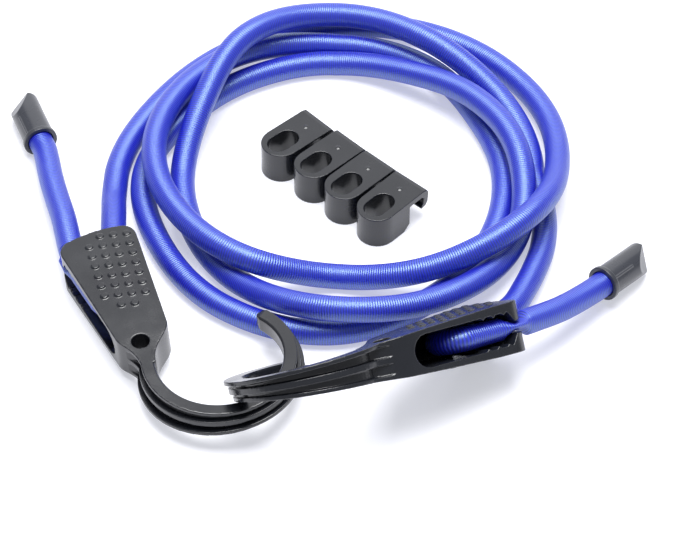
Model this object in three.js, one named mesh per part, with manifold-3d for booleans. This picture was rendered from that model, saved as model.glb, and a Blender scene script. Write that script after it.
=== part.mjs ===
// An adjustable bungee cord, coiled on a table, with its two hooks linked and four cord clips in the coil.
// Lengths are in millimetres, angles in degrees, and +Z points up from the table.

import * as THREE from 'three';
import { mergeVertices } from 'three/addons/utils/BufferGeometryUtils.js';
import Module from 'manifold-3d';

const wasm = await Module();
wasm.setup();

// Fits between pieces that touch
const PIECE_GAP = 0.3;
const CUT_OVERRUN = 1;

// Cord: a braided sheath around a core of rubber strands
const CORD_RADIUS = 4.5;
const SHEATH_WALL = 0.9;
const FLAT_WALL_SHARE = 0.35;
const CORD_SIDES = 8;
const FACET_DROP = CORD_RADIUS * (1 - Math.cos(Math.PI / CORD_SIDES));
const UP = new THREE.Vector3(0, 0, 1);

// Coil: radius and height of the round cord's middle at each clock hour, going clockwise from the left
const COIL_CENTRE = new THREE.Vector2(-1.5, 48);
const HOURS_PER_TURN = 12;
const STEPS_PER_HOUR = 2;
const COIL_HOURS = [
  // Outer turn, which climbs over the right side and dives inside at the bottom
  [79.3, 4.5], [74.8, 4.5], [76.3, 4.5], [80.4, 4.5], [83.3, 4.5], [83.3, 5],
  [80, 10.5], [77, 20.3], [64, 12], [51.8, 4.5], [61.6, 15.1], [63.4, 15.5],
  // Second turn, which comes down at the top and lies on the table
  [65.5, 14.9], [66.4, 13.6], [68, 10.3], [69, 4.6], [66.2, 4.5], [60, 4.5],
  [60.6, 4.5], [64, 4.5], [70.6, 4.5], [78.7, 4.5], [77.3, 4.5], [72, 4.5],
  // Third turn, which rises over the right side and the bottom
  [69.2, 4.5], [62.3, 4.5], [59.8, 4.5], [59, 4.5], [55.6, 9.8], [59, 14.2],
  [65.7, 15], [73.4, 8], [77.8, 11.3], [78.2, 15.7], [66.3, 6.9], [58.3, 4.5],
  // Last half turn, which crosses the others at the top left and leaves at the right
  [55.4, 4.8], [56, 14.2], [65, 21.6], [74.8, 14.8], [68.8, 15.9], [70.6, 7.6], [71.2, 4.5],
];
const LEFT_LEAD_HOURS = 1;
const LEAST_COIL_GAP = 0.4;
const GAP_SAMPLES_PER_STEP = 4;
const SAME_STRAND_DIAMETERS = 4.5;

// Free stretches between the coil and the hooks, and between the hooks and the end caps
const LEFT_LEAD_ROUTE = [[-81.2, 35, 5], [-80.7, 24.5, 7.5]];
const RIGHT_LEAD_ROUTE = [
  [72.2, 35, 4.5], [73, 22, 4.5], [71.6, 9.5, 4.7],
  [68.3, -1.5, 5.2], [64.3, -11.5, 5.8], [60.2, -20.2, 6.8],
];
const LEFT_TAIL_ROUTE = [[-98.2, 20, 9.2], [-101.2, 31, 8.4], [-104, 42, 7.6]];
const RIGHT_TAIL_ROUTE = [[70.5, -32.6, 15.2], [76, -28, 13.4], [81.3, -22.6, 11.4]];

// Hook: x from the mouth to the bend, y towards the point, z across the two jaw plates
const HOOK_POSES = {
  left: { mouth: [-85.5, 2.7, 9.8], yaw: -68, pitch: 1.2, roll: 3.4 },
  right: { mouth: [54.3, -37.1, 13.95], yaw: 217, pitch: 17.8, roll: 220.6 },
};
const MOUTH_HALF_WIDTH = 13.8;
const MOUTH_CORNER_X = 5;
const SHOULDER_X = 48.5;
const SHOULDER_HALF_WIDTH = 9.5;
const MOUTH_FRONT_X = -0.6;
const MOUTH_BOW = 2.4;
const MOUTH_ROUND = 4;
const MOUTH_CORNER_PULL = 0.5;
const JAW_HALF_HEIGHTS = [[0, 8.8], [12, 8.7], [36, 7.7], [50, 7], [57, 6.45], [63, 6], [70, 5.6]];
const NECK_END_X = 63;
const NECK_OUTER_Y = -5.2;
const NECK_HOLE = { x: 52.8, y: -1.9, radius: 3.15, sides: 16 };

// The curves from the shoulders to the neck and the floor of the neck's pockets, with x from the shoulder
const OUTER_SHOULDER_PULLS = [[4, -9.2], [5.5, -5.2]];
const INNER_SHOULDER_PULLS = [[7, 1.2], [5, 7.6]];
const NECK_POCKET_FLOOR = [[2.5, -9.6], [5, -7.4], [7.5, -5.2], [10.5, -3.5], [15.5, -2.4]];

// Arm: two flanges and a rib between them round its outside, each reaching further out than the one above it
const BEND_CENTRE = new THREE.Vector2(68.3, 20.65);
const BEND_RADIUS = 21.9;
const ARM_WIDTH = 6.8;
const FLANGE_WIDTH = 4.7;
const RIB_WIDTH = 5.7;
const GROOVE_FLOOR = 3.3;
const RIB_HALF_HEIGHT = 1.1;
const FLANGE_THICKNESS = 1.5;
const ARM_CHAMFER = 0.6;
const ARM_START = -119;
const ARM_END = 121;
const ARM_STEPS = 60;
const NECK_HALF_HEIGHT = 6.4;
const BEND_HALF_HEIGHT = 3.75;
const POINT_HALF_HEIGHT = 3.4;
const NOSE_LENGTH = 2;
const NOSE_SCALE = 0.7;
const PIP_RADIUS = 1;
const PIP_LENGTH = 1.4;
const PIP_SIDES = 8;

// Jaw: the slot between the two plates, with lips at the mouth, teeth behind them and a web along one edge
const LIP_HALF_GAP = 2;
const LIP_LENGTH = 6.4;
const LIP_SLOPE = 2.6;
const SLOT_HALF_HEIGHT = 5.7;
const SLOT_END_X = 46.3;
const SLOT_ARC_STEPS = 8;
const WEB_START_X = 12;
const WEB_THICKNESS = 0.7;
const WEB_INSET = 0.1;
const TOOTH_COUNT = 3;
const TOOTH_PITCH = 4.3;
const TOOTH_CLEARANCE = 0.6;
const TOOTH_HEIGHT = 0.9;
const TOOTH_HALF_LENGTH = 1;

// Cord inside a jaw: two strands side by side, joined by a tight turn
const STRAND_OFFSET = 8;
const TURN_CENTRES = { left: 22, right: 19.5 };
const TURN_RADIUS = 6.4;
const TURN_STEPS = 8;
const JAW_START_X = -5;
const NIP_START_X = -1.9;
const NIP_WIDTH = 5.7;
const SQUEEZE_SHARE = 0.66;
const SQUEEZE_LIFT_SHARE = 0.3;
const RELEASE_LENGTH = 3;
const RIGHT_LEAD_LIFT = 1.5;

// End cap: a cup on the cord's cut end, with a flared rim and a slanting end
const CAP_LENGTH = 22;
const CAP_BORE_DEPTH = 14.4;
const CAP_RADIUS = 5.7;
const CAP_RIM_RADIUS = 6.3;
const CAP_RIM_LENGTH = 1.6;
const CAP_EDGE = 0.8;
const CAP_SIDES = 20;
const CAP_SLANT = 61;
const CAP_SLANT_START = 14.4;
const CAP_LEAD_IN = 5;
const CAPS = {
  left: { rim: [-109.1, 62.5, 6.5], yaw: 111.4, pitch: 0, slantTurn: -50 },
  right: { rim: [91.6, -11.8, 8.9], yaw: 47.1, pitch: -7, slantTurn: 67 },
};

// Cord clip: a boss with an oval hole, and a top plate that ends in a lip
const CLIP_WIDTH = 14.6;
const CLIP_HEIGHT = 13;
const CLIP_ROUND_Y = -1;
const CLIP_BACK_Y = 8.5;
const CLIP_FOOT_Y = 5.5;
const CLIP_FOOT_RISE = 2.4;
const CLIP_PLATE = 2.6;
const CLIP_HOLE_HALF_WIDTH = 4;
const CLIP_HOLE_HALF_LENGTH = 6.3;
const CLIP_ARC_STEPS = 20;

// The row of clips: the first one's hole, then the way to each next one and the gap left between them
const CLIP_FIRST_HOLE = [-20.6, 56.2];
const CLIP_ROW_HEADINGS = [-42.8, -44.7, -43.5];
const CLIP_ROW_GAPS = [1.75, 0.89, 1.24];
const CLIP_TURNS = [-47.6, -46, -44.2, -42.4];

// The lip's outline: reach beyond the boss's back, and drop below the clip's top
const CLIP_LIP_PROFILE = [
  [7.4, 0], [9.1, 0.5], [9.9, 1.8], [9.7, 6], [8.7, 7.6],
  [6.1, 8.1], [6.1, 7.2], [7.1, 5.8], [7.4, 3.4],
];
const CLIP_LIP_ROOT = 6.5;

// Materials
const BLUE_BRAID = { color: 0x3038a8, roughness: 0.62, metalness: 0 };
const PALE_RUBBER = { color: 0xd8cfb4, roughness: 0.8, metalness: 0 };
const BLACK_NYLON = { color: 0x2b2c2f, roughness: 0.55, metalness: 0 };
const GREY_NYLON = { color: 0x55575b, roughness: 0.5, metalness: 0 };

const CORD_NODE = /_(sheath|rubber_core)$/;
const radians = THREE.MathUtils.degToRad;

// Closed meshes and solids

function indexedGeometry(points, triangles) {
  const geometry = new THREE.BufferGeometry();
  geometry.setFromPoints(points);
  geometry.setIndex(triangles);
  geometry.computeVertexNormals();
  return geometry;
}

function wallTriangles(ringCount, sides, first, inward) {
  const triangles = [];
  for (let ring = 0; ring + 1 < ringCount; ring += 1) {
    for (let side = 0; side < sides; side += 1) {
      const near = first + ring * sides + side;
      const beside = first + ring * sides + ((side + 1) % sides);
      const corners = [near, beside, beside + sides, near, beside + sides, near + sides];
      triangles.push(...(inward ? corners.reverse() : corners));
    }
  }
  return triangles;
}

function skinRings(rings, outline) {
  const sides = outline.length;
  const triangles = wallTriangles(rings.length, sides, 0, false);
  const last = (rings.length - 1) * sides;
  for (const [a, b, c] of THREE.ShapeUtils.triangulateShape(outline, [])) {
    triangles.push(a, c, b);
    triangles.push(last + a, last + b, last + c);
  }
  return indexedGeometry(rings.flat(), triangles);
}

function skinBore(outerRings, boreRings) {
  const sides = outerRings[0].length;
  const ringCount = outerRings.length;
  const bore = ringCount * sides;
  const last = (ringCount - 1) * sides;
  const triangles = wallTriangles(ringCount, sides, 0, false);
  triangles.push(...wallTriangles(ringCount, sides, bore, true));
  for (let side = 0; side < sides; side += 1) {
    const next = (side + 1) % sides;
    triangles.push(side, bore + side, bore + next, side, bore + next, next);
    triangles.push(last + side, last + next, bore + last + next);
    triangles.push(last + side, bore + last + next, bore + last + side);
  }
  return indexedGeometry([...outerRings.flat(), ...boreRings.flat()], triangles);
}

function toSolid(geometry) {
  const plain = geometry.clone();
  plain.deleteAttribute('normal');
  plain.deleteAttribute('uv');
  const merged = mergeVertices(plain);
  const vertProperties = new Float32Array(merged.attributes.position.array);
  const triVerts = new Uint32Array(merged.index.array);
  return new wasm.Manifold(new wasm.Mesh({ numProp: 3, vertProperties, triVerts }));
}

function toGeometry(solid) {
  const { vertProperties, triVerts } = solid.getMesh();
  const geometry = new THREE.BufferGeometry();
  geometry.setAttribute('position', new THREE.BufferAttribute(vertProperties, 3));
  geometry.setIndex(new THREE.BufferAttribute(triVerts, 1));
  geometry.computeVertexNormals();
  return geometry;
}

function shapeFrom(points) {
  return new THREE.Shape(points.map(([across, along]) => new THREE.Vector2(across, along)));
}

function extrudeUp(shape, bottom, top) {
  const geometry = new THREE.ExtrudeGeometry(shape, { depth: top - bottom, bevelEnabled: false });
  return geometry.translate(0, 0, bottom);
}

// A profile drawn in x and z, extruded along y
function extrudeAcrossY(shape, halfWidth) {
  const geometry = new THREE.ExtrudeGeometry(shape, { depth: 2 * halfWidth, bevelEnabled: false });
  return geometry.rotateX(Math.PI / 2).translate(0, halfWidth, 0);
}

function drum(radius, bottom, top, sides) {
  const geometry = new THREE.CylinderGeometry(radius, radius, top - bottom, sides);
  return geometry.rotateX(Math.PI / 2).translate(0, 0, (bottom + top) / 2);
}

function arcPoints(centreX, centreY, radius, from, to, steps) {
  const points = [];
  for (let step = 0; step <= steps; step += 1) {
    const angle = radians(from + ((to - from) * step) / steps);
    points.push([centreX + radius * Math.cos(angle), centreY + radius * Math.sin(angle)]);
  }
  return points;
}

// Placing: yaw about the vertical, then pitch, then roll about the piece's own x

function placement(origin, { yaw, pitch = 0, roll = 0 }) {
  const turn = new THREE.Euler(radians(roll), radians(-pitch), radians(yaw), 'ZYX');
  const matrix = new THREE.Matrix4().makeRotationFromEuler(turn);
  return matrix.setPosition(...origin);
}

function hookPlacement(side) {
  return placement(HOOK_POSES[side].mouth, HOOK_POSES[side]);
}

// Cord route: each stop has a place, the direction of its top, and a half width and half height

function stop(place, top, wide = CORD_RADIUS, tall = CORD_RADIUS) {
  return { place, top, wide, tall };
}

// A smooth curve through evenly spaced values, straight beyond both ends
function smoothValue(values, position) {
  const index = Math.min(Math.floor(position), values.length - 2);
  const share = position - index;
  const start = values[index];
  const end = values[index + 1];
  const before = index > 0 ? values[index - 1] : 2 * start - end;
  const after = index + 2 < values.length ? values[index + 2] : 2 * end - start;
  const cubic = 3 * (start - end) + after - before;
  const square = 2 * before - 5 * start + 4 * end - after;
  return start + 0.5 * share * (end - before + share * (square + share * cubic));
}

function coilStops() {
  const radii = COIL_HOURS.map(([radius]) => radius);
  const heights = COIL_HOURS.map(([, height]) => height);
  const steps = (COIL_HOURS.length - 1) * STEPS_PER_HOUR;
  const stops = [];
  for (let step = 0; step <= steps; step += 1) {
    const hour = step / STEPS_PER_HOUR;
    const angle = Math.PI - (2 * Math.PI * hour) / HOURS_PER_TURN;
    const radius = smoothValue(radii, hour);
    const height = Math.max(smoothValue(heights, hour), CORD_RADIUS) - FACET_DROP;
    const x = COIL_CENTRE.x + radius * Math.cos(angle);
    const y = COIL_CENTRE.y + radius * Math.sin(angle);
    stops.push(stop(new THREE.Vector3(x, y, height), UP));
  }
  return stops;
}

// The cord through one jaw, from the lead's side round the turn to the tail's side
function jawStops(side, leadLift) {
  const place = hookPlacement(side);
  const top = new THREE.Vector3().setFromMatrixColumn(place, 2);
  const upSign = Math.sign(top.z);
  top.multiplyScalar(upSign);
  const nipTall = LIP_HALF_GAP - PIECE_GAP;
  const nipEnd = LIP_LENGTH - LIP_SLOPE + PIECE_GAP;
  const halfway = (CORD_RADIUS + nipTall) / 2;
  const squeezeX = SQUEEZE_SHARE * JAW_START_X;
  const strand = [
    { x: JAW_START_X, lift: leadLift, wide: CORD_RADIUS, tall: CORD_RADIUS },
    { x: squeezeX, lift: SQUEEZE_LIFT_SHARE * leadLift, wide: CORD_RADIUS, tall: halfway },
    { x: NIP_START_X, lift: 0, wide: NIP_WIDTH, tall: nipTall },
    { x: nipEnd, lift: 0, wide: NIP_WIDTH, tall: nipTall },
    { x: nipEnd + RELEASE_LENGTH, lift: 0, wide: CORD_RADIUS, tall: CORD_RADIUS - 2 * PIECE_GAP },
  ];
  const inJaw = (x, y, lift, wide, tall) => {
    const point = new THREE.Vector3(x, y, lift * upSign).applyMatrix4(place);
    return stop(point, top, wide, tall);
  };
  const lead = strand.map(({ x, lift, wide, tall }) => inJaw(x, STRAND_OFFSET, lift, wide, tall));
  const tail = strand.map(({ x, wide, tall }) => inJaw(x, -STRAND_OFFSET, 0, wide, tall));
  const turn = arcPoints(TURN_CENTRES[side], 0, TURN_RADIUS, 90, -90, TURN_STEPS);
  const around = turn.map(([x, y]) => inJaw(x, y, 0, CORD_RADIUS, CORD_RADIUS - PIECE_GAP));
  return [...lead, ...around, ...tail.reverse()];
}

function capDirection(side) {
  return new THREE.Vector3().setFromMatrixColumn(placement(CAPS[side].rim, CAPS[side]), 0);
}

function alongCap(side, distance) {
  const rim = new THREE.Vector3(...CAPS[side].rim);
  return rim.addScaledVector(capDirection(side), distance);
}

// Points between two stops, with the top direction turning evenly from one to the other
function freeStops(route, from, to) {
  return route.map((point, index) => {
    const share = (index + 1) / (route.length + 1);
    const top = from.top.clone().lerp(to.top, share).normalize();
    return stop(new THREE.Vector3(...point), top);
  });
}

function tailStops(side, route, jawEnd) {
  const inside = CAP_BORE_DEPTH - PIECE_GAP;
  const end = [-CAP_LEAD_IN, 0, inside].map((distance) => stop(alongCap(side, distance), UP));
  return [...freeStops(route, jawEnd, end[0]), ...end];
}

// The whole cord from the left cap to the right cap, as named stretches that share their end stops
function cordStretches() {
  const coil = coilStops();
  const leadSteps = LEFT_LEAD_HOURS * STEPS_PER_HOUR;
  const leftJaw = jawStops('left', 0);
  const rightJaw = jawStops('right', RIGHT_LEAD_LIFT);
  const leftEntry = leftJaw[0];
  const rightEntry = rightJaw[0];
  const leftExit = leftJaw.at(-1);
  const rightExit = rightJaw.at(-1);
  const leftTail = [leftExit, ...tailStops('left', LEFT_TAIL_ROUTE, leftExit)].reverse();
  const leftLead = [leftEntry, ...freeStops([...LEFT_LEAD_ROUTE].reverse(), leftEntry, coil[0])];
  const rightLead = [coil.at(-1), ...freeStops(RIGHT_LEAD_ROUTE, coil.at(-1), rightEntry), rightEntry];
  const rightTail = [rightExit, ...tailStops('right', RIGHT_TAIL_ROUTE, rightExit)];
  return [
    { name: 'left_tail', stops: leftTail },
    { name: 'left_bight', stops: leftJaw.reverse() },
    { name: 'left_lead', stops: [...leftLead, ...coil.slice(0, leadSteps + 1)] },
    { name: 'coil', stops: coil.slice(leadSteps) },
    { name: 'right_lead', stops: rightLead },
    { name: 'right_bight', stops: rightJaw },
    { name: 'right_tail', stops: rightTail },
  ];
}

// Each stop's direction follows the whole cord, so that neighbouring stretches meet face to face
function aimStretches(stretches) {
  stretches.forEach(({ stops }, index) => {
    const before = index > 0 ? stretches[index - 1].stops.at(-2) : null;
    const after = index + 1 < stretches.length ? stretches[index + 1].stops[1] : null;
    stops.aims = stops.map((current, step) => {
      const previous = stops[step - 1] ?? before ?? current;
      const next = stops[step + 1] ?? after ?? current;
      return next.place.clone().sub(previous.place).normalize();
    });
  });
}

function sectionRing({ place, top, wide, tall }, aim, inset) {
  const across = new THREE.Vector3().crossVectors(top, aim).normalize();
  const over = new THREE.Vector3().crossVectors(aim, across);
  const ring = [];
  for (let side = 0; side < CORD_SIDES; side += 1) {
    const angle = (2 * Math.PI * (side + 0.5)) / CORD_SIDES;
    const point = place.clone();
    point.addScaledVector(across, (wide - inset) * Math.cos(angle));
    point.addScaledVector(over, (tall - inset) * Math.sin(angle));
    ring.push(point);
  }
  return ring;
}

function stretchRings(stops, insetOf) {
  const last = stops.length - 1;
  return stops.map((current, step) => {
    const aim = stops.aims[step];
    const shift = (step === 0 ? PIECE_GAP / 2 : 0) - (step === last ? PIECE_GAP / 2 : 0);
    const place = current.place.clone().addScaledVector(aim, shift);
    return sectionRing({ ...current, place }, aim, insetOf(current));
  });
}

function wallAt({ tall }) {
  return Math.min(SHEATH_WALL, FLAT_WALL_SHARE * tall);
}

function sheathGeometry(stops) {
  return skinBore(stretchRings(stops, () => 0), stretchRings(stops, wallAt));
}

function coreGeometry(stops) {
  const rings = stretchRings(stops, (current) => wallAt(current) + PIECE_GAP);
  return skinRings(rings, sectionOutline());
}

function sectionOutline() {
  const outline = [];
  for (let side = 0; side < CORD_SIDES; side += 1) {
    const angle = (2 * Math.PI * (side + 0.5)) / CORD_SIDES;
    outline.push(new THREE.Vector2(Math.cos(angle), Math.sin(angle)));
  }
  return outline;
}

// The least gap between strands of the coil, measured on points along its steps
function leastCoilGap(stops) {
  const points = [];
  let travelled = 0;
  for (let step = 0; step + 1 < stops.length; step += 1) {
    const from = stops[step].place;
    const to = stops[step + 1].place;
    for (let sample = 0; sample < GAP_SAMPLES_PER_STEP; sample += 1) {
      const share = sample / GAP_SAMPLES_PER_STEP;
      const place = from.clone().lerp(to, share);
      points.push({ place, along: travelled + share * from.distanceTo(to) });
    }
    travelled += from.distanceTo(to);
  }
  const sameStrand = SAME_STRAND_DIAMETERS * 2 * CORD_RADIUS;
  let least = Infinity;
  points.forEach((one, index) => {
    for (const other of points.slice(index + 1)) {
      if (other.along - one.along > sameStrand) {
        least = Math.min(least, one.place.distanceTo(other.place) - 2 * CORD_RADIUS);
      }
    }
  });
  return least;
}

function stretchLength(stops) {
  let length = 0;
  for (let step = 0; step + 1 < stops.length; step += 1) {
    length += stops[step].place.distanceTo(stops[step + 1].place);
  }
  return length;
}

// Hook

function fromShoulder(points) {
  return points.map(([x, y]) => [SHOULDER_X + x, y]);
}

function jawPlan() {
  const side = MOUTH_HALF_WIDTH;
  const inner = side - MOUTH_ROUND;
  const shape = new THREE.Shape();
  shape.moveTo(MOUTH_CORNER_X, -side);
  shape.lineTo(SHOULDER_X, -SHOULDER_HALF_WIDTH);
  shape.bezierCurveTo(...fromShoulder(OUTER_SHOULDER_PULLS).flat(), NECK_END_X, NECK_OUTER_Y);
  shape.lineTo(NECK_END_X, 0);
  shape.bezierCurveTo(...fromShoulder(INNER_SHOULDER_PULLS).flat(), SHOULDER_X, SHOULDER_HALF_WIDTH);
  shape.lineTo(MOUTH_CORNER_X, side);
  shape.quadraticCurveTo(MOUTH_CORNER_PULL, side, MOUTH_FRONT_X, inner);
  shape.quadraticCurveTo(MOUTH_FRONT_X - MOUTH_BOW, 0, MOUTH_FRONT_X, -inner);
  shape.quadraticCurveTo(MOUTH_CORNER_PULL, -side, MOUTH_CORNER_X, -side);
  return shape;
}

function jawSideProfile() {
  const front = MOUTH_FRONT_X - MOUTH_BOW - CUT_OVERRUN;
  const top = [[front, JAW_HALF_HEIGHTS[0][1]], ...JAW_HALF_HEIGHTS];
  const bottom = top.map(([x, half]) => [x, -half]);
  return shapeFrom([...bottom, ...top.reverse()]);
}

function slotProfile() {
  const front = MOUTH_FRONT_X - MOUTH_BOW - 2 * CUT_OVERRUN;
  const lip = [[front, LIP_HALF_GAP], [LIP_LENGTH - LIP_SLOPE, LIP_HALF_GAP]];
  const top = [...lip, [LIP_LENGTH, SLOT_HALF_HEIGHT]];
  const firstTooth = LIP_LENGTH + TOOTH_CLEARANCE + TOOTH_HALF_LENGTH;
  for (let tooth = 0; tooth < TOOTH_COUNT; tooth += 1) {
    const x = firstTooth + tooth * TOOTH_PITCH;
    top.push([x - TOOTH_HALF_LENGTH, SLOT_HALF_HEIGHT]);
    top.push([x, SLOT_HALF_HEIGHT - TOOTH_HEIGHT]);
    top.push([x + TOOTH_HALF_LENGTH, SLOT_HALF_HEIGHT]);
  }
  const bottom = top.map(([x, half]) => [x, -half]);
  const end = arcPoints(SLOT_END_X - SLOT_HALF_HEIGHT, 0, SLOT_HALF_HEIGHT, -90, 90, SLOT_ARC_STEPS);
  return shapeFrom([...bottom, ...end, ...top.reverse()]);
}

// The wall that closes the slot along the plates' edge on the point's side
function webPlan() {
  const ends = [WEB_START_X, SLOT_END_X];
  const edge = ends.map((x) => {
    const share = (x - MOUTH_CORNER_X) / (SHOULDER_X - MOUTH_CORNER_X);
    const half = THREE.MathUtils.lerp(MOUTH_HALF_WIDTH, SHOULDER_HALF_WIDTH, share);
    return [x, half - WEB_INSET];
  });
  const inside = edge.map(([x, y]) => [x, y - WEB_THICKNESS]);
  return shapeFrom([...inside, ...edge.reverse()]);
}

// The two pockets behind the slot, which run on into the arm's grooves
function neckPocket() {
  const floor = fromShoulder(NECK_POCKET_FLOOR);
  const outside = -MOUTH_HALF_WIDTH;
  const [firstX] = floor[0];
  const [lastX] = floor.at(-1);
  return shapeFrom([[firstX, outside], [lastX, outside], ...floor.reverse()]);
}

function jawSolid() {
  const tallest = 2 * SLOT_HALF_HEIGHT;
  const plan = toSolid(extrudeUp(jawPlan(), -tallest, tallest));
  const side = toSolid(extrudeAcrossY(jawSideProfile(), 2 * MOUTH_HALF_WIDTH));
  const slot = toSolid(extrudeAcrossY(slotProfile(), 2 * MOUTH_HALF_WIDTH));
  const web = toSolid(extrudeUp(webPlan(), -SLOT_HALF_HEIGHT - PIECE_GAP, SLOT_HALF_HEIGHT + PIECE_GAP));
  const hole = drum(NECK_HOLE.radius, -tallest, tallest, NECK_HOLE.sides);
  hole.translate(NECK_HOLE.x, NECK_HOLE.y, 0);
  const pocketTop = NECK_HALF_HEIGHT - FLANGE_THICKNESS;
  const upper = toSolid(extrudeUp(neckPocket(), RIB_HALF_HEIGHT, pocketTop));
  const lower = toSolid(extrudeUp(neckPocket(), -pocketTop, -RIB_HALF_HEIGHT));
  const slotted = plan.intersect(side).subtract(slot).add(web);
  return slotted.subtract(toSolid(hole)).subtract(upper).subtract(lower);
}

// Half of the arm's section: distance outwards from the inner edge, and height
function armSide(half, flangeWidth) {
  const grooveTop = half - FLANGE_THICKNESS;
  return [
    [RIB_WIDTH, RIB_HALF_HEIGHT], [GROOVE_FLOOR, RIB_HALF_HEIGHT], [GROOVE_FLOOR, grooveTop],
    [flangeWidth, grooveTop], [flangeWidth, half], [ARM_CHAMFER, half], [0, half - ARM_CHAMFER],
  ];
}

function armSection(half) {
  const upper = armSide(half, FLANGE_WIDTH);
  const lower = armSide(half, ARM_WIDTH).map(([out, height]) => [out, -height]).reverse();
  return [...upper, ...lower].map(([out, height]) => new THREE.Vector2(out, height));
}

function armHalfHeight(angle) {
  if (angle < 0) {
    return THREE.MathUtils.mapLinear(angle, ARM_START, 0, NECK_HALF_HEIGHT, BEND_HALF_HEIGHT);
  }
  return THREE.MathUtils.mapLinear(angle, 0, ARM_END, BEND_HALF_HEIGHT, POINT_HALF_HEIGHT);
}

function armRing(angle, scale, forward) {
  const turn = radians(angle);
  const middle = ARM_WIDTH / 2;
  return armSection(armHalfHeight(angle)).map(({ x: out, y: height }) => {
    const radius = BEND_RADIUS + middle + (out - middle) * scale;
    const x = BEND_CENTRE.x + radius * Math.cos(turn) - forward * Math.sin(turn);
    const y = BEND_CENTRE.y + radius * Math.sin(turn) + forward * Math.cos(turn);
    return new THREE.Vector3(x, y, height * scale);
  });
}

function armSolid() {
  const rings = [];
  for (let step = 0; step <= ARM_STEPS; step += 1) {
    rings.push(armRing(ARM_START + ((ARM_END - ARM_START) * step) / ARM_STEPS, 1, 0));
  }
  rings.push(armRing(ARM_END, NOSE_SCALE, NOSE_LENGTH));
  const outline = armSection(BEND_HALF_HEIGHT);
  rings.forEach((ring) => ring.reverse());
  return toSolid(skinRings(rings, outline));
}

function pipSolid() {
  const turn = radians(ARM_END);
  const middle = BEND_RADIUS + ARM_WIDTH / 2;
  const x = BEND_CENTRE.x + middle * Math.cos(turn);
  const y = BEND_CENTRE.y + middle * Math.sin(turn);
  const pip = drum(PIP_RADIUS, 0, NOSE_LENGTH + PIP_LENGTH, PIP_SIDES).rotateX(-Math.PI / 2).rotateZ(turn);
  return toSolid(pip.translate(x, y, 0));
}

function hookGeometry() {
  return toGeometry(jawSolid().add(armSolid()).add(pipSolid()));
}

// End cap: x runs from the rim to the slanting end

function capGeometry(slantTurn) {
  const bore = CORD_RADIUS + PIECE_GAP;
  const inside = [[0, CAP_BORE_DEPTH], [bore, CAP_BORE_DEPTH], [bore, 0]];
  const rimEnd = CAP_RIM_LENGTH + CAP_EDGE;
  const rim = [[CAP_RIM_RADIUS, 0], [CAP_RIM_RADIUS, CAP_RIM_LENGTH], [CAP_RADIUS, rimEnd]];
  const end = [[CAP_RADIUS, CAP_LENGTH - CAP_EDGE], [CAP_RADIUS - CAP_EDGE, CAP_LENGTH], [0, CAP_LENGTH]];
  const profile = [...inside, ...rim, ...end];
  const cup = new THREE.LatheGeometry(shapeFrom(profile).getPoints(), CAP_SIDES).rotateZ(-Math.PI / 2);
  const block = 4 * CAP_RADIUS;
  const slant = new THREE.BoxGeometry(block, 2 * block, 2 * block).translate(block / 2, 0, 0);
  slant.rotateY(radians(-CAP_SLANT)).translate(CAP_SLANT_START, 0, CAP_RADIUS).rotateX(radians(slantTurn));
  return toGeometry(toSolid(cup).subtract(toSolid(slant)));
}

// Cord clip: x across, y towards the lip, z up, from the middle of its hole

function clipPlan() {
  const half = CLIP_WIDTH / 2;
  const front = arcPoints(0, CLIP_ROUND_Y, half, 180, 360, CLIP_ARC_STEPS);
  return shapeFrom([...front, [half, CLIP_BACK_Y], [-half, CLIP_BACK_Y]]);
}

function clipHole() {
  const straight = CLIP_HOLE_HALF_LENGTH - CLIP_HOLE_HALF_WIDTH;
  const back = arcPoints(0, straight, CLIP_HOLE_HALF_WIDTH, 0, 180, CLIP_ARC_STEPS);
  const front = arcPoints(0, -straight, CLIP_HOLE_HALF_WIDTH, 180, 360, CLIP_ARC_STEPS);
  return shapeFrom([...back, ...front]);
}

// A profile drawn in y and z, extruded along x
function extrudeAcrossX(profile, halfWidth) {
  return extrudeAcrossY(shapeFrom(profile), halfWidth).rotateZ(Math.PI / 2);
}

function clipGeometry() {
  const underside = CLIP_HEIGHT - CLIP_PLATE;
  const inside = CLIP_BACK_Y - CLIP_PLATE / 2;
  const boss = toSolid(extrudeUp(clipPlan(), 0, CLIP_HEIGHT));
  const outline = CLIP_LIP_PROFILE.map(([reach, drop]) => [CLIP_BACK_Y + reach, CLIP_HEIGHT - drop]);
  const root = [CLIP_BACK_Y + CLIP_LIP_ROOT, underside];
  const plate = [[inside, underside], [inside, CLIP_HEIGHT], ...outline, root].reverse();
  const lip = toSolid(extrudeAcrossX(plate, CLIP_WIDTH / 2));
  const hole = toSolid(extrudeUp(clipHole(), -CUT_OVERRUN, CLIP_HEIGHT + CUT_OVERRUN));
  const below = [[CLIP_FOOT_Y, -CUT_OVERRUN], [2 * CLIP_BACK_Y, -CUT_OVERRUN]];
  const slope = [[CLIP_BACK_Y, CLIP_FOOT_RISE], [CLIP_FOOT_Y, 0]];
  const foot = toSolid(extrudeAcrossX([...below, ...slope], CLIP_WIDTH));
  return toGeometry(boss.add(lip).subtract(hole).subtract(foot));
}

// Assembly

function namedMesh(name, geometry, look, matrix) {
  const mesh = new THREE.Mesh(geometry, new THREE.MeshStandardMaterial(look));
  mesh.name = name;
  if (matrix) {
    matrix.decompose(mesh.position, mesh.quaternion, mesh.scale);
  }
  return mesh;
}

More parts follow.
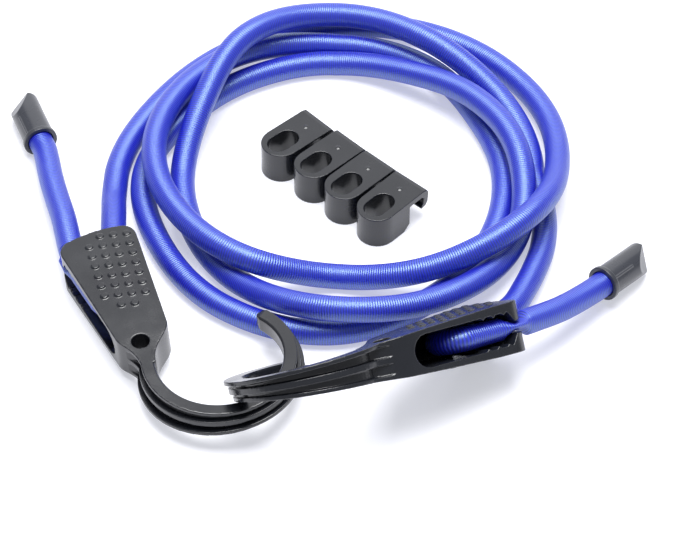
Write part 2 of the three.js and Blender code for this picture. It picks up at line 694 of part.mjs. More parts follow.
function addCord(assembly) {
  const stretches = cordStretches();
  aimStretches(stretches);
  for (const { name, stops } of stretches) {
    assembly.add(namedMesh(`${name}_sheath`, sheathGeometry(stops), BLUE_BRAID));
    assembly.add(namedMesh(`${name}_rubber_core`, coreGeometry(stops), PALE_RUBBER));
    console.log(`${name} is ${stretchLength(stops).toFixed(0)} mm long`);
  }
  const coil = stretches.find(({ name }) => name === 'coil');
  const gap = leastCoilGap(coil.stops);
  console.log(`least gap of the coil to itself ${gap.toFixed(2)} mm, wanted over ${LEAST_COIL_GAP} mm`);
}

function addHooksAndCaps(assembly) {
  for (const side of ['left', 'right']) {
    assembly.add(namedMesh(`${side}_hook`, hookGeometry(), BLACK_NYLON, hookPlacement(side)));
    const { rim, slantTurn } = CAPS[side];
    const cap = capGeometry(slantTurn);
    assembly.add(namedMesh(`${side}_end_cap`, cap, GREY_NYLON, placement(rim, CAPS[side])));
  }
}

function clipHoles() {
  let [x, y] = CLIP_FIRST_HOLE;
  const holes = [[x, y]];
  CLIP_ROW_GAPS.forEach((gap, index) => {
    const heading = radians(CLIP_ROW_HEADINGS[index]);
    x += (CLIP_WIDTH + gap) * Math.cos(heading);
    y += (CLIP_WIDTH + gap) * Math.sin(heading);
    holes.push([x, y]);
  });
  return holes;
}

function addClips(assembly) {
  clipHoles().forEach((hole, index) => {
    const matrix = placement([...hole, 0], { yaw: CLIP_TURNS[index] });
    assembly.add(namedMesh(`cord_clip_${index + 1}`, clipGeometry(), BLACK_NYLON, matrix));
  });
}

// The part stands on z = 0, with the middle of the box round its hooks, caps and clips over the origin
function centreOnOrigin(assembly) {
  const box = new THREE.Box3();
  const pieces = assembly.children.filter(({ name }) => !CORD_NODE.test(name));
  pieces.forEach((piece) => box.expandByObject(piece, true));
  const centre = box.getCenter(new THREE.Vector3());
  assembly.position.set(-centre.x, -centre.y, -box.min.z);
  console.log(`moved by ${assembly.position.toArray().map((value) => value.toFixed(3)).join(', ')} mm`);
}

const bungeeCord = new THREE.Group();
bungeeCord.name = 'bungee_cord';
addCord(bungeeCord);
addHooksAndCaps(bungeeCord);
addClips(bungeeCord);
centreOnOrigin(bungeeCord);

export default bungeeCord;
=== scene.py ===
import math

import bmesh
import bpy
from mathutils import Matrix, Vector


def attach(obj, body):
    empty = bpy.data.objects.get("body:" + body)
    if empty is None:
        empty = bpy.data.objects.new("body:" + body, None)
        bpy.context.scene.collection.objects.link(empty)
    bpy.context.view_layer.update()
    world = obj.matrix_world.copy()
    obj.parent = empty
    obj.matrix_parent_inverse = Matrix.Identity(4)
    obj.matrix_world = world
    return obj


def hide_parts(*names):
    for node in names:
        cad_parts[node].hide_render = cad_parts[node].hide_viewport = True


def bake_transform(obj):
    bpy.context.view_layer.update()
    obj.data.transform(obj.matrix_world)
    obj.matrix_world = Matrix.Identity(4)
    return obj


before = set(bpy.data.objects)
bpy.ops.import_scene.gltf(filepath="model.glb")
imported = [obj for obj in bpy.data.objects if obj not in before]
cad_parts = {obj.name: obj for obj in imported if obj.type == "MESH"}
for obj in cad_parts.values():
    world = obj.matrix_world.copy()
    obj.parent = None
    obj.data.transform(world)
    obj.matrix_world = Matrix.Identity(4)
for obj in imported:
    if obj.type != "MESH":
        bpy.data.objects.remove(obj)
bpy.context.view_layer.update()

scene = bpy.context.scene
mm = 0.001
print("frame loaded:", len(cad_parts), "nodes")


# Camera, at the photograph's angle

photo = {
    "widthPixels": 680,
    "focalPixels": 3396,
    "sensorWidth": 36,  # millimetres
    "elevation": 46,  # degrees above the table
    "distance": 1.2,
    "tableMiddle": (0.006449, 0.002248, 0.0),  # the photograph's middle, and the zero of the cord's route
}
tableMiddle = Vector(photo["tableMiddle"])


def aimAt(thing, target):
    away = (target - thing.location).normalized()
    thing.rotation_euler = away.to_track_quat("-Z", "Y").to_euler()


def addCamera():
    data = bpy.data.cameras.new("photoCamera")
    data.sensor_width = photo["sensorWidth"]
    data.lens = photo["focalPixels"] / photo["widthPixels"] * data.sensor_width
    camera = bpy.data.objects.new("photoCamera", data)
    rise = math.radians(photo["elevation"])
    camera.location = tableMiddle + photo["distance"] * Vector((0, -math.cos(rise), math.sin(rise)))
    aimAt(camera, tableMiddle)
    scene.collection.objects.link(camera)
    scene.camera = camera


addCamera()
print("camera set")


# Materials

def linearColour(hexColour):
    channels = []
    for start in (1, 3, 5):
        value = int(hexColour[start:start + 2], 16) / 255
        channels.append(value / 12.92 if value <= 0.04045 else ((value + 0.055) / 1.055) ** 2.4)
    return (*channels, 1.0)


def addNode(tree, kind, settings=None, links=None):
    node = tree.nodes.new(kind)
    for name, value in (settings or {}).items():
        setattr(node, name, value)
    for socket, value in (links or {}).items():
        if isinstance(value, bpy.types.NodeSocket):
            tree.links.new(value, node.inputs[socket])
        else:
            node.inputs[socket].default_value = value
    return node


def addMath(tree, operation, *values):
    return addNode(tree, "ShaderNodeMath", {"operation": operation}, dict(enumerate(values))).outputs[0]


def newMaterial(name, shaderValues):
    material = bpy.data.materials.new(name)
    material.use_nodes = True
    tree = material.node_tree
    shader = tree.nodes["Principled BSDF"]
    for socket, value in shaderValues.items():
        shader.inputs[socket].default_value = value
    return material, tree, shader


braid = {
    # painted shade for the bottoms of the ribs, the thread's own blue, and a painted highlight for the rib
    # tops
    "paintedValleyShade": "#080668",
    "thread": "#100d9e",
    "paintedCrownHighlight": "#181ac2",
    "colourPlaces": (0.1, 0.5, 1.0),  # where those three lie, from the bottom of a rib to its top
    "ribPitch": 0.85 * mm,  # real ribs are nearer 0.7 mm, and would blur away at this size
    "ribHeight": 0.14 * mm,
    "ribStrength": 0.6,
    "zigzags": 8,  # V shapes round the cord, where the carriers cross
    "zigzagShare": 0.12,  # depth of a V, in ribs
    "fibre": 0.2 * mm,
    "fibreShare": 0.3,
    "roughness": 0.36,
    "ior": 1.72,  # polyester along its fibres
    "highlight": "#ccf0ff",
    "sheen": "#8fb6ff",
    "sheenWeight": 0.05,
    "sheenRoughness": 0.4,
}


# Ribs across the cord that zigzag round it, roughened by single fibres
def braidHeight(tree):
    place = addNode(tree, "ShaderNodeUVMap", {"uv_map": "cordLength"})
    split = addNode(tree, "ShaderNodeSeparateXYZ", None, {0: place.outputs[0]})
    along = addMath(tree, "DIVIDE", split.outputs[0], braid["ribPitch"])
    around = addMath(tree, "MULTIPLY", split.outputs[1], braid["zigzags"])
    zigzag = addMath(tree, "PINGPONG", around, 0.5)
    turn = addMath(tree, "MULTIPLY_ADD", zigzag, 2 * braid["zigzagShare"], along)
    angle = addMath(tree, "MULTIPLY", turn, 2 * math.pi)
    wave = addMath(tree, "COSINE", angle)
    ribs = addMath(tree, "MULTIPLY_ADD", wave, 0.5, 0.5)
    fibres = addNode(tree, "ShaderNodeTexNoise", None, {"Scale": 1 / braid["fibre"], "Detail": 2.0})
    return addMath(tree, "MULTIPLY_ADD", fibres.outputs[0], braid["fibreShare"], ribs)


# Colour by rib height: painted shade down in the valleys between ribs and a painted highlight on the rib
# tops
def braidColourWithPaintedShade(tree, height):
    ramp = addNode(tree, "ShaderNodeValToRGB", None, {0: height})
    low, middle, high = braid["colourPlaces"]
    colours = ramp.color_ramp.elements
    colours[0].position = low
    colours[0].color = linearColour(braid["paintedValleyShade"])
    colours[1].position = high
    colours[1].color = linearColour(braid["paintedCrownHighlight"])
    colours.new(middle).color = linearColour(braid["thread"])
    return ramp.outputs[0]


# Polyester yarn braided tight over rubber: its threads read as fine ribs across the cord, with a silky glint
def makeBraidedPolyester():
    material, tree, shader = newMaterial("braided polyester", {
        "Roughness": braid["roughness"],
        "IOR": braid["ior"],
        "Specular IOR Level": 1.0,
        "Specular Tint": linearColour(braid["highlight"]),
        "Sheen Weight": braid["sheenWeight"],
        "Sheen Roughness": braid["sheenRoughness"],
        "Sheen Tint": linearColour(braid["sheen"]),
    })
    height = braidHeight(tree)
    bump = addNode(tree, "ShaderNodeBump", None,
                   {"Strength": braid["ribStrength"], "Distance": braid["ribHeight"], "Height": height})
    tree.links.new(braidColourWithPaintedShade(tree, height), shader.inputs["Base Color"])
    tree.links.new(bump.outputs[0], shader.inputs["Normal"])
    return material


nylon = {
    "black": {"base": "#14161b", "worn": "#1c1e24", "roughness": 0.23},
    "grey": {"base": "#2b2d33", "worn": "#393b42", "roughness": 0.28},
    "ior": 1.53,
    "specularLevel": 0.55,
    "grain": 0.35 * mm,  # the mould's spark texture, drawn coarse enough to show
    "grainHeight": 0.02 * mm,
    "grainStrength": 0.5,
    "cloud": 14 * mm,
    "cloudRange": (0.3, 0.7),
    "glossSpread": (-0.06, 0.08),  # added to the roughness from one end of the clouds to the other
}


def addNoise(tree, place, size):
    links = {"Vector": place, "Scale": 1 / size, "Detail": 3.0}
    return addNode(tree, "ShaderNodeTexNoise", None, links).outputs[0]


# Glass-filled nylon from a spark-textured mould: near-black, satin, with cloudy gloss and a fine grain
def makeMouldedNylon(name, look):
    shaderValues = {"IOR": nylon["ior"], "Specular IOR Level": nylon["specularLevel"]}
    material, tree, shader = newMaterial(name, shaderValues)
    place = addNode(tree, "ShaderNodeTexCoord").outputs["Object"]
    grain = addNoise(tree, place, nylon["grain"])
    cloud = addNoise(tree, place, nylon["cloud"])
    colour = addNode(tree, "ShaderNodeMix", {"data_type": "RGBA"},
                     {0: cloud, 6: linearColour(look["base"]), 7: linearColour(look["worn"])})
    cloudLow, cloudHigh = nylon["cloudRange"]
    glossLow, glossHigh = [look["roughness"] + change for change in nylon["glossSpread"]]
    gloss = addNode(tree, "ShaderNodeMapRange", None,
                    {0: cloud, 1: cloudLow, 2: cloudHigh, 3: glossLow, 4: glossHigh})
    bump = addNode(tree, "ShaderNodeBump", None,
                   {"Strength": nylon["grainStrength"], "Distance": nylon["grainHeight"], "Height": grain})
    tree.links.new(colour.outputs[2], shader.inputs["Base Color"])
    tree.links.new(gloss.outputs[0], shader.inputs["Roughness"])
    tree.links.new(bump.outputs[0], shader.inputs["Normal"])
    return material


braidedPolyester = makeBraidedPolyester()
blackNylon = makeMouldedNylon("moulded black nylon", nylon["black"])
greyNylon = makeMouldedNylon("moulded grey nylon", nylon["grey"])
print("materials made")


# Hooks' and caps' places, as in the CAD model

hook = {
    "places": {
        "left": {"origin": (-0.0855, 0.0027, 0.0098), "yaw": -68, "pitch": 1.2, "roll": 3.4},
        "right": {"origin": (0.0543, -0.0371, 0.01395), "yaw": 217, "pitch": 17.8, "roll": 220.6},
    },
    "voxel": 0.22 * mm,
    "smoothing": 5,
    "dotRadius": 1.45 * mm,
    "dotTopRadius": 1.25 * mm,
    "dotHeight": 0.45 * mm,
    "dotSides": 24,
    "dotFirst": (0.17 * mm, -2.95 * mm),
    "dotRowStep": (4.75 * mm, -0.55 * mm),
    "dotColumnStep": (1.26 * mm, 4.56 * mm),
    # the first column of each row, and the one after its last
    "dotRows": [(1, 4), (0, 4), (0, 4), (0, 4), (0, 4), (0, 4), (0, 4), (1, 3)],
    "plateHeights": [(0, 8.8 * mm), (12 * mm, 8.7 * mm), (36 * mm, 7.7 * mm), (50 * mm, 7 * mm)],
}
cap = {
    "places": {
        "left": {"origin": (-0.1091, 0.0625, 0.0065), "yaw": 111.4, "pitch": 0, "roll": 0},
        "right": {"origin": (0.0916, -0.0118, 0.0089), "yaw": 47.1, "pitch": -7, "roll": 0},
    },
    "length": 22 * mm,
    "boreDepth": 14.4 * mm,
    "boreRadius": 4.8 * mm,
    "radius": 5.7 * mm,
    "rimRadius": 6.3 * mm,
    "rimLength": 1.6 * mm,
    "edge": 0.5 * mm,
    "sides": 64,
    "slant": 61,
    "slantStart": 14.4 * mm,
    "slantTurns": {"left": -50, "right": 67},
    "leadIn": 5 * mm,
    "ridgeTurns": {"left": -48, "right": 40},
    "ridgeHeight": 0.45 * mm,
    "ridgeWidth": 0.7 * mm,
    "ridgeEndGap": 3 * mm,
    "voxel": 0.2 * mm,
    "smoothing": 4,
}


def placeMatrix(place):
    turn = Matrix.Rotation(math.radians(place["yaw"]), 4, "Z")
    tilt = Matrix.Rotation(math.radians(-place["pitch"]), 4, "Y")
    roll = Matrix.Rotation(math.radians(place["roll"]), 4, "X")
    return Matrix.Translation(tableMiddle + Vector(place["origin"])) @ turn @ tilt @ roll


# Cord, one smooth route from the left cap to the right cap

cord = {
    "radius": 4.5 * mm,
    "sides": 32,
    "spacing": 1.6 * mm,
    "bendMargin": 6 * mm,
    "coilCentre": (-0.0015, 0.048),
    "hoursPerTurn": 12,
    "stepsPerHour": 16,
    "leftLeadHours": 1,
    # radius and height of the cord's middle at each clock hour, clockwise from the left
    "coilHours": [
        # outer turn, which climbs over the right side and dives inside at the bottom
        (0.0793, 0.0045), (0.0748, 0.0045), (0.0763, 0.0045), (0.0804, 0.0045),
        (0.0833, 0.0045), (0.0833, 0.005), (0.08, 0.0105), (0.077, 0.0203),
        (0.064, 0.012), (0.0518, 0.0045), (0.0616, 0.0151), (0.0634, 0.0155),
        # second turn, which comes down at the top and lies on the table
        (0.0655, 0.0149), (0.0664, 0.0136), (0.068, 0.0103), (0.069, 0.0046),
        (0.0662, 0.0045), (0.06, 0.0045), (0.0606, 0.0045), (0.064, 0.0045),
        (0.0706, 0.0045), (0.0787, 0.0045), (0.0773, 0.0045), (0.072, 0.0045),
        # third turn, which rises over the right side and the bottom
        (0.0692, 0.0045), (0.0623, 0.0045), (0.0598, 0.0045), (0.059, 0.0045),
        (0.0556, 0.0098), (0.059, 0.0142), (0.0657, 0.015), (0.0734, 0.008),
        (0.0778, 0.0113), (0.0782, 0.0157), (0.0663, 0.0069), (0.0583, 0.0045),
        # last half turn, which crosses the others at the top left and leaves at the right
        (0.0554, 0.0048), (0.056, 0.0142), (0.065, 0.0216), (0.0748, 0.0148),
        (0.0688, 0.0159), (0.0706, 0.0076), (0.0712, 0.0045),
    ],
    "leftLead": [(-0.0812, 0.035, 0.005), (-0.0807, 0.0245, 0.0075)],
    "rightLead": [
        (0.0722, 0.035, 0.0045), (0.073, 0.022, 0.0045), (0.0716, 0.0095, 0.0047),
        (0.0683, -0.0015, 0.0052), (0.0643, -0.0115, 0.0058), (0.0602, -0.0202, 0.0068),
    ],
    "leftTail": [(-0.0982, 0.02, 0.0092), (-0.1012, 0.031, 0.0084), (-0.104, 0.042, 0.0076)],
    "rightTail": [(0.0705, -0.0326, 0.0152), (0.076, -0.028, 0.0134), (0.0813, -0.0226, 0.0114)],
}
jaw = {
    "strandOffset": 8 * mm,
    "turnCentres": {"left": 22 * mm, "right": 19.5 * mm},
    "turnRadius": 6.4 * mm,
    "turnSteps": 16,
    "start": -5 * mm,
    "nipWidth": 5.7 * mm,
    "nipHeight": 1.7 * mm,
    "nipStart": -1.9 * mm,
    "nipEnd": 4.1 * mm,
    "squeezeShare": 0.66,
    "squeezeLiftShare": 0.3,
    "release": 3 * mm,
    "slack": 0.3 * mm,
    "leadLift": {"left": 0, "right": 1.5 * mm},
}
upward = Vector((0, 0, 1))


def cordStop(place, top, wide=cord["radius"], tall=cord["radius"]):
    return {"place": Vector(place), "top": Vector(top), "wide": wide, "tall": tall}


# Cubic through evenly spaced values, straight beyond both ends
def smoothValue(values, position):
    index = min(int(position), len(values) - 2)
    share = position - index
    start, end = values[index], values[index + 1]
    before = values[index - 1] if index > 0 else 2 * start - end
    after = values[index + 2] if index + 2 < len(values) else 2 * end - start
    cubic = 3 * (start - end) + after - before
    square = 2 * before - 5 * start + 4 * end - after
    return start + 0.5 * share * (end - before + share * (square + share * cubic))


def coilStops():
    radii = [radius for radius, height in cord["coilHours"]]
    heights = [height for radius, height in cord["coilHours"]]
    centreX, centreY = cord["coilCentre"]
    stops = []
    for step in range((len(radii) - 1) * cord["stepsPerHour"] + 1):
        hour = step / cord["stepsPerHour"]
        angle = math.pi - 2 * math.pi * hour / cord["hoursPerTurn"]
        radius = smoothValue(radii, hour)
        height = max(smoothValue(heights, hour), cord["radius"])
        place = Vector((centreX + radius * math.cos(angle), centreY + radius * math.sin(angle), height))
        stops.append(cordStop(tableMiddle + place, upward))
    return stops


# Along the jaw, lift, half width and half height of a strand that is pinched flat between the lips
def pinchedStrand(side):
    lift = jaw["leadLift"][side]
    radius = cord["radius"]
    halfway = (radius + jaw["nipHeight"]) / 2
    return [
        (jaw["start"], lift, radius, radius),
        (jaw["squeezeShare"] * jaw["start"], jaw["squeezeLiftShare"] * lift, radius, halfway),
        (jaw["nipStart"], 0, jaw["nipWidth"], jaw["nipHeight"]),
        (jaw["nipEnd"], 0, jaw["nipWidth"], jaw["nipHeight"]),
        (jaw["nipEnd"] + jaw["release"], 0, radius, radius - 2 * jaw["slack"]),
    ]


# From the lead's side of a jaw round its turn to the tail's side
def jawStops(side):
    place = placeMatrix(hook["places"][side])
    top = place.to_3x3() @ upward
    upSign = 1 if top.z > 0 else -1
    strand = pinchedStrand(side)
    offset = jaw["strandOffset"]

    def inJaw(x, y, rise, wide, tall):
        return cordStop(place @ Vector((x, y, rise * upSign)), top * upSign, wide, tall)

    lead = [inJaw(x, offset, rise, wide, tall) for x, rise, wide, tall in strand]
    tail = [inJaw(x, -offset, 0, wide, tall) for x, rise, wide, tall in strand]
    turn = []
    for step in range(jaw["turnSteps"] + 1):
        angle = math.pi / 2 - math.pi * step / jaw["turnSteps"]
        x = jaw["turnCentres"][side] + jaw["turnRadius"] * math.cos(angle)
        y = jaw["turnRadius"] * math.sin(angle)
        turn.append(inJaw(x, y, 0, cord["radius"], cord["radius"] - jaw["slack"]))
    return lead + turn + tail[::-1]


def freeStops(points, firstStop, lastStop):
    stops = []
    for index, point in enumerate(points):
        share = (index + 1) / (len(points) + 1)
        top = firstStop["top"].lerp(lastStop["top"], share).normalized()
        stops.append(cordStop(tableMiddle + Vector(point), top))
    return stops


def tailStops(side, jawEnd):
    place = placeMatrix(cap["places"][side])
    inside = cap["boreDepth"] - jaw["slack"]
    end = [cordStop(place @ Vector((x, 0, 0)), upward) for x in (-cap["leadIn"], 0, inside)]
    return [jawEnd] + freeStops(cord[side + "Tail"], jawEnd, end[0]) + end


def cordStretches():
    coil = coilStops()
    leadSteps = cord["leftLeadHours"] * cord["stepsPerHour"]
    leftJaw, rightJaw = jawStops("left"), jawStops("right")
    leftFree = freeStops(cord["leftLead"][::-1], leftJaw[0], coil[0])
    rightFree = freeStops(cord["rightLead"], coil[-1], rightJaw[0])
    return [
        ("left_tail", tailStops("left", leftJaw[-1])[::-1]),
        ("left_bight", leftJaw[::-1]),
        ("left_lead", [leftJaw[0]] + leftFree + coil[:leadSteps + 1]),
        ("coil", coil[leadSteps:]),
        ("right_lead", [coil[-1]] + rightFree + [rightJaw[0]]),
        ("right_bight", rightJaw),
        ("right_tail", tailStops("right", rightJaw[-1])),
    ]


# All the stops in one row, with the index where each stretch begins
def joinedStops(stretches):
    stops, firsts = [], []
    for name, own in stretches:
        firsts.append(max(len(stops) - 1, 0))
        stops += own[1:] if stops else own
    return stops, firsts


def routeSlopes(stops):
    slopes = []
    for index, stop in enumerate(stops):
        before, after = stops[max(index - 1, 0)], stops[min(index + 1, len(stops) - 1)]
        reach = (stop["place"] - before["place"]).length + (after["place"] - stop["place"]).length
        slopes.append((after["place"] - before["place"]) / reach)
    return slopes


def stopBetween(one, two, slopeOne, slopeTwo, share):
    gap = (two["place"] - one["place"]).length
    ease = share * share * (3 - 2 * share)
    rise = share * (1 - share) ** 2
    fall = share * share * (share - 1)
    place = one["place"].lerp(two["place"], ease) + gap * (rise * slopeOne + fall * slopeTwo)
    wide = one["wide"] + (two["wide"] - one["wide"]) * ease
    tall = one["tall"] + (two["tall"] - one["tall"]) * ease
    return cordStop(place, one["top"].lerp(two["top"], share).normalized(), wide, tall)


# A finer route through all the stops, with the first and last index of each stretch
def smoothRoute(stretches):
    stops, firsts = joinedStops(stretches)
    slopes = routeSlopes(stops)
    fine, places = [], []
    for index in range(len(stops) - 1):
        places.append(len(fine))
        one, two = stops[index], stops[index + 1]
        pieces = max(1, round((two["place"] - one["place"]).length / cord["spacing"]))
        for piece in range(pieces):
            fine.append(stopBetween(one, two, slopes[index], slopes[index + 1], piece / pieces))
    fine.append(stops[-1])
    bounds = [places[first] for first in firsts] + [len(fine) - 1]
    return fine, [(name, bounds[order], bounds[order + 1]) for order, (name, own) in enumerate(stretches)]


def routeLengths(stops):
    lengths = [0.0]
    for one, two in zip(stops, stops[1:]):
        lengths.append(lengths[-1] + (two["place"] - one["place"]).length)
    return lengths


def cordRing(stops, index):
    stop = stops[index]
    aim = stops[min(index + 1, len(stops) - 1)]["place"] - stops[max(index - 1, 0)]["place"]
    across = stop["top"].cross(aim).normalized()
    over = aim.cross(across).normalized()
    ring = []
    for side in range(cord["sides"]):
        angle = 2 * math.pi * side / cord["sides"]
        outward = across * stop["wide"] * math.cos(angle) + over * stop["tall"] * math.sin(angle)
        ring.append(stop["place"] + outward)
    return ring


def addCordWall(work, rings, lengths):
    sides = cord["sides"]
    lengthMap = work.loops.layers.uv.new("cordLength")
    vertRings = [[work.verts.new(point) for point in ring] for ring in rings]
    for row, (one, two) in enumerate(zip(vertRings, vertRings[1:])):
        for side in range(sides):
            nextSide = (side + 1) % sides
            face = work.faces.new([one[side], one[nextSide], two[nextSide], two[side]])
            face.smooth = True
            corners = [(row, side), (row, side + 1), (row + 1, side + 1), (row + 1, side)]
            for loop, (cornerRow, cornerSide) in zip(face.loops, corners):
                loop[lengthMap].uv = (lengths[cornerRow], cornerSide / sides)
    return vertRings


def addCordPiece(name, stops, lengths, first, last):
    work = bmesh.new()
    rings = [cordRing(stops, index) for index in range(first, last + 1)]
    vertRings = addCordWall(work, rings, lengths[first:last + 1])
    for ending in (vertRings[0][::-1], vertRings[-1]):
        for edge in work.faces.new(ending).edges:
            edge.smooth = False  # keeps the shading of one stretch running into the next
    bmesh.ops.recalc_face_normals(work, faces=work.faces)
    mesh = bpy.data.meshes.new(name)
    work.to_mesh(mesh)
    work.free()
    mesh.materials.append(braidedPolyester)
    piece = bpy.data.objects.new(name, mesh)
    scene.collection.objects.link(piece)
    return piece


def addCord():
    stops, stretches = smoothRoute(cordStretches())
    lengths = routeLengths(stops)
    pieces = {}
    for name, first, last in stretches:
        piece = addCordPiece(name + "_cord", stops, lengths, first, last)
        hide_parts(name + "_sheath", name + "_rubber_core")
        path = [stop["place"] for stop in stops[first:last + 1]]
        pieces[name] = {"piece": piece, "path": path, "length": lengths[last] - lengths[first]}
        print("cord", name, "is", round(pieces[name]["length"] / mm), "mm long")
    return pieces


cordPieces = addCord()


# Moulded pieces: one solid and its raised detail, melted together and rounded like a moulding

moulding = {
    "easeFactor": 0.5,
    "mergeDistance": 0.001 * mm,
}


def addSolid(name, localMesh, place, material):
    mesh = localMesh.copy()
    mesh.name = name
    mesh.transform(place)
    mesh.materials.clear()
    mesh.materials.append(material)
    for face in mesh.polygons:
        face.use_smooth = True
    solid = bpy.data.objects.new(name, mesh)
    scene.collection.objects.link(solid)
    return solid


def moulded(name, work, voxel, smoothing):
    mesh = bpy.data.meshes.new(name)
    work.to_mesh(mesh)
    work.free()
    blank = bpy.data.objects.new(name + "_blank", mesh)
    scene.collection.objects.link(blank)
    melt = blank.modifiers.new("melt", "REMESH")
    melt.mode = "VOXEL"
    melt.voxel_size = voxel
    melt.use_smooth_shade = True
    ease = blank.modifiers.new("ease", "SMOOTH")
    ease.factor = moulding["easeFactor"]
    ease.iterations = smoothing
    made = bpy.data.meshes.new_from_object(blank.evaluated_get(bpy.context.evaluated_depsgraph_get()))
    made.name = name
    bpy.data.objects.remove(blank)
    print(name, "has", len(made.polygons), "faces")
    return made


def cadCopy(node, place):
    work = bmesh.new()
    work.from_mesh(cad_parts[node].data)
    bmesh.ops.remove_doubles(work, verts=work.verts, dist=moulding["mergeDistance"])
    bmesh.ops.transform(work, matrix=place.inverted(), verts=work.verts)
    return work


def plateHeight(x):
    for (nearX, near), (farX, far) in zip(hook["plateHeights"], hook["plateHeights"][1:]):
        if x <= farX:
            return near + (far - near) * (x - nearX) / (farX - nearX)
    return hook["plateHeights"][-1][1]


# Low flat grip dots on both plates
def addGripDots(work):
    for row, (firstColumn, endColumn) in enumerate(hook["dotRows"]):
        for column in range(firstColumn, endColumn):
            x = hook["dotFirst"][0] + row * hook["dotRowStep"][0] + column * hook["dotColumnStep"][0]
            y = hook["dotFirst"][1] + row * hook["dotRowStep"][1] + column * hook["dotColumnStep"][1]
            for sign in (1, -1):
                place = Matrix.Translation((x, y, sign * plateHeight(x)))
                facing = Matrix.Rotation(0 if sign > 0 else math.pi, 4, "X")
                bmesh.ops.create_cone(work, cap_ends=True, segments=hook["dotSides"],
                                      radius1=hook["dotRadius"], radius2=hook["dotTopRadius"],
                                      depth=2 * hook["dotHeight"], matrix=place @ facing)


def addHooks():
    work = cadCopy("left_hook", placeMatrix(hook["places"]["left"]))
    addGripDots(work)
    mesh = moulded("hook_moulding", work, hook["voxel"], hook["smoothing"])
    for side in ("left", "right"):
        piece = addSolid(side + "_hook_moulding", mesh, placeMatrix(hook["places"][side]), blackNylon)
        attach(piece, side + "_hook")
        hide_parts(side + "_hook")
    print("hooks made")


addHooks()


def capProfile():
    inside = [(cap["boreDepth"], 0), (cap["boreDepth"], cap["boreRadius"]), (0, cap["boreRadius"])]
    rim = [(0, cap["rimRadius"]), (cap["rimLength"], cap["rimRadius"])]
    body = [(cap["rimLength"] + cap["edge"], cap["radius"]), (cap["length"] - cap["edge"], cap["radius"])]
    end = [(cap["length"], cap["radius"] - cap["edge"]), (cap["length"], 0)]
    return inside + rim + body + end


def capRing(work, x, radius):
    if radius == 0:
        return [work.verts.new((x, 0, 0))] * cap["sides"]
    ring = []
    for side in range(cap["sides"]):
        angle = 2 * math.pi * side / cap["sides"]
        ring.append(work.verts.new((x, radius * math.cos(angle), radius * math.sin(angle))))
    return ring


def spunCap(work):
    rings = [capRing(work, x, radius) for x, radius in capProfile()]
    for one, two in zip(rings, rings[1:]):
        for side in range(cap["sides"]):
            nextSide = (side + 1) % cap["sides"]
            corners = [one[side], one[nextSide], two[nextSide], two[side]]
            work.faces.new(list(dict.fromkeys(corners)))
    bmesh.ops.recalc_face_normals(work, faces=work.faces)


def slantEnd(work, turnDegrees):
    lean = math.radians(cap["slant"])
    turn = Matrix.Rotation(math.radians(turnDegrees), 4, "X")
    normal = turn @ Vector((math.cos(lean), 0, math.sin(lean)))
    point = turn @ Vector((cap["slantStart"], 0, cap["radius"]))
    everything = work.verts[:] + work.edges[:] + work.faces[:]
    cut = bmesh.ops.bisect_plane(work, geom=everything, plane_co=point, plane_no=normal, clear_outer=True)
    edges = [part for part in cut["geom_cut"] if isinstance(part, bmesh.types.BMEdge)]
    bmesh.ops.contextual_create(work, geom=edges)


# The thin raised line that the mould's parting leaves along a cap
def addPartingRidge(work, turnDegrees):
    length = cap["slantStart"] - cap["rimLength"] - cap["ridgeEndGap"]
    middle = cap["rimLength"] + length / 2
    size = Matrix.Diagonal((length, cap["ridgeWidth"], 2 * cap["ridgeHeight"], 1))
    turn = Matrix.Rotation(math.radians(turnDegrees), 4, "X")
    bmesh.ops.create_cube(work, size=1, matrix=turn @ Matrix.Translation((middle, 0, cap["radius"])) @ size)


def addCaps():
    pieces = {}
    for side in ("left", "right"):
        work = bmesh.new()
        spunCap(work)
        slantEnd(work, cap["slantTurns"][side])
        addPartingRidge(work, cap["ridgeTurns"][side])
        name = side + "_end_cap_moulding"
        mesh = moulded(name, work, cap["voxel"], cap["smoothing"])
        piece = addSolid(name, mesh, placeMatrix(cap["places"][side]), greyNylon)
        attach(piece, side + "_cap")
        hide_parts(side + "_end_cap")
        pieces[side] = piece
    print("caps made")
    return pieces


caps = addCaps()


clip = {
    "holes": [(-0.0206, 0.0562), (-0.0086, 0.0451), (0.0024, 0.0342), (0.0139, 0.0233)],
    "turns": [-47.6, -46, -44.2, -42.4],
    "voxel": 0.22 * mm,
    "smoothing": 4,
    "gateRadius": 0.9 * mm,
    "gateHeight": 0.3 * mm,
    "gatePlace": (0, 11 * mm, 13 * mm),
    "gateSides": 16,
    "gateRings": 10,
}


def clipPlace(index):
    x, y = clip["holes"][index]
    return placeMatrix({"origin": (x, y, 0), "yaw": clip["turns"][index], "pitch": 0, "roll": 0})


# The low pip that the mould's gate leaves on a clip's top
def addGatePip(work):
    flatten = Matrix.Diagonal((1, 1, clip["gateHeight"] / clip["gateRadius"], 1))
    bmesh.ops.create_uvsphere(work, u_segments=clip["gateSides"], v_segments=clip["gateRings"],
                              radius=clip["gateRadius"],
                              matrix=Matrix.Translation(clip["gatePlace"]) @ flatten)


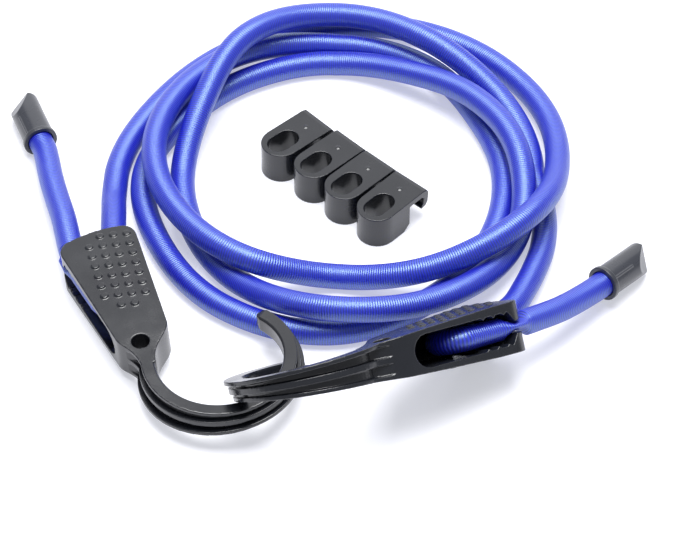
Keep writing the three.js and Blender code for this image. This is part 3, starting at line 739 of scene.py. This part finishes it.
def addClips():
    work = cadCopy("cord_clip_1", clipPlace(0))
    addGatePip(work)
    mesh = moulded("clip_moulding", work, clip["voxel"], clip["smoothing"])
    for index in range(len(clip["holes"])):
        name = "cord_clip_" + str(index + 1)
        piece = addSolid(name + "_moulding", mesh, clipPlace(index), blackNylon)
        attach(piece, "clip_" + str(index + 1))
        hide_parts(name)
    print("clips made")


addClips()


# How the cord moves: the coil and the bights ride with their bodies; the leads and tails have their places
# baked into their meshes and stay put


def bendBetween(name):
    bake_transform(cordPieces[name]["piece"])


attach(cordPieces["coil"]["piece"], "coil")
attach(cordPieces["left_bight"]["piece"], "left_hook")
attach(cordPieces["right_bight"]["piece"], "right_hook")
bendBetween("left_lead")
bendBetween("right_lead")
bendBetween("left_tail")
bendBetween("right_tail")
print("cord joined to its bodies")


# Table and light

studio = {
    "tableColour": "#c6c6ca",
    "tableGlow": 0.5,  # a light table, which thins the shadows
    "tableRoughness": 0.6,
    "tableSpecular": 0.2,
    "tableSize": 6,
    "ambient": 0.42,
    "ambientColour": "#f6f8ff",
    "softboxes": [
        {"name": "overhead softbox", "place": (0.03, 0.12, 1.4), "size": 0.95, "watts": 34},
        {"name": "back wall", "place": (0, 1.5, 0.7), "size": 2.0, "watts": 12},
    ],
}


def addTable():
    bpy.ops.mesh.primitive_plane_add(size=studio["tableSize"], location=(0, 0, 0))
    table = bpy.context.object
    table.name = "table"
    material, tree, shader = newMaterial("white laminate", {
        "Base Color": linearColour(studio["tableColour"]),
        "Roughness": studio["tableRoughness"],
        "Specular IOR Level": studio["tableSpecular"],
        "Emission Color": linearColour(studio["ambientColour"]),
        "Emission Strength": studio["tableGlow"],
    })
    table.data.materials.append(material)


def addWorld():
    world = bpy.data.worlds.new("white studio")
    scene.world = world
    world.use_nodes = True
    background = world.node_tree.nodes["Background"]
    background.inputs["Color"].default_value = linearColour(studio["ambientColour"])
    background.inputs["Strength"].default_value = studio["ambient"]


def addSoftboxes():
    for box in studio["softboxes"]:
        light = bpy.data.lights.new(box["name"], "AREA")
        light.shape = "SQUARE"
        light.size = box["size"]
        light.energy = box["watts"]
        lamp = bpy.data.objects.new(box["name"], light)
        lamp.location = box["place"]
        aimAt(lamp, tableMiddle)
        scene.collection.objects.link(lamp)


addTable()
addWorld()
addSoftboxes()
scene.view_settings.view_transform = "Standard"
print("studio set")
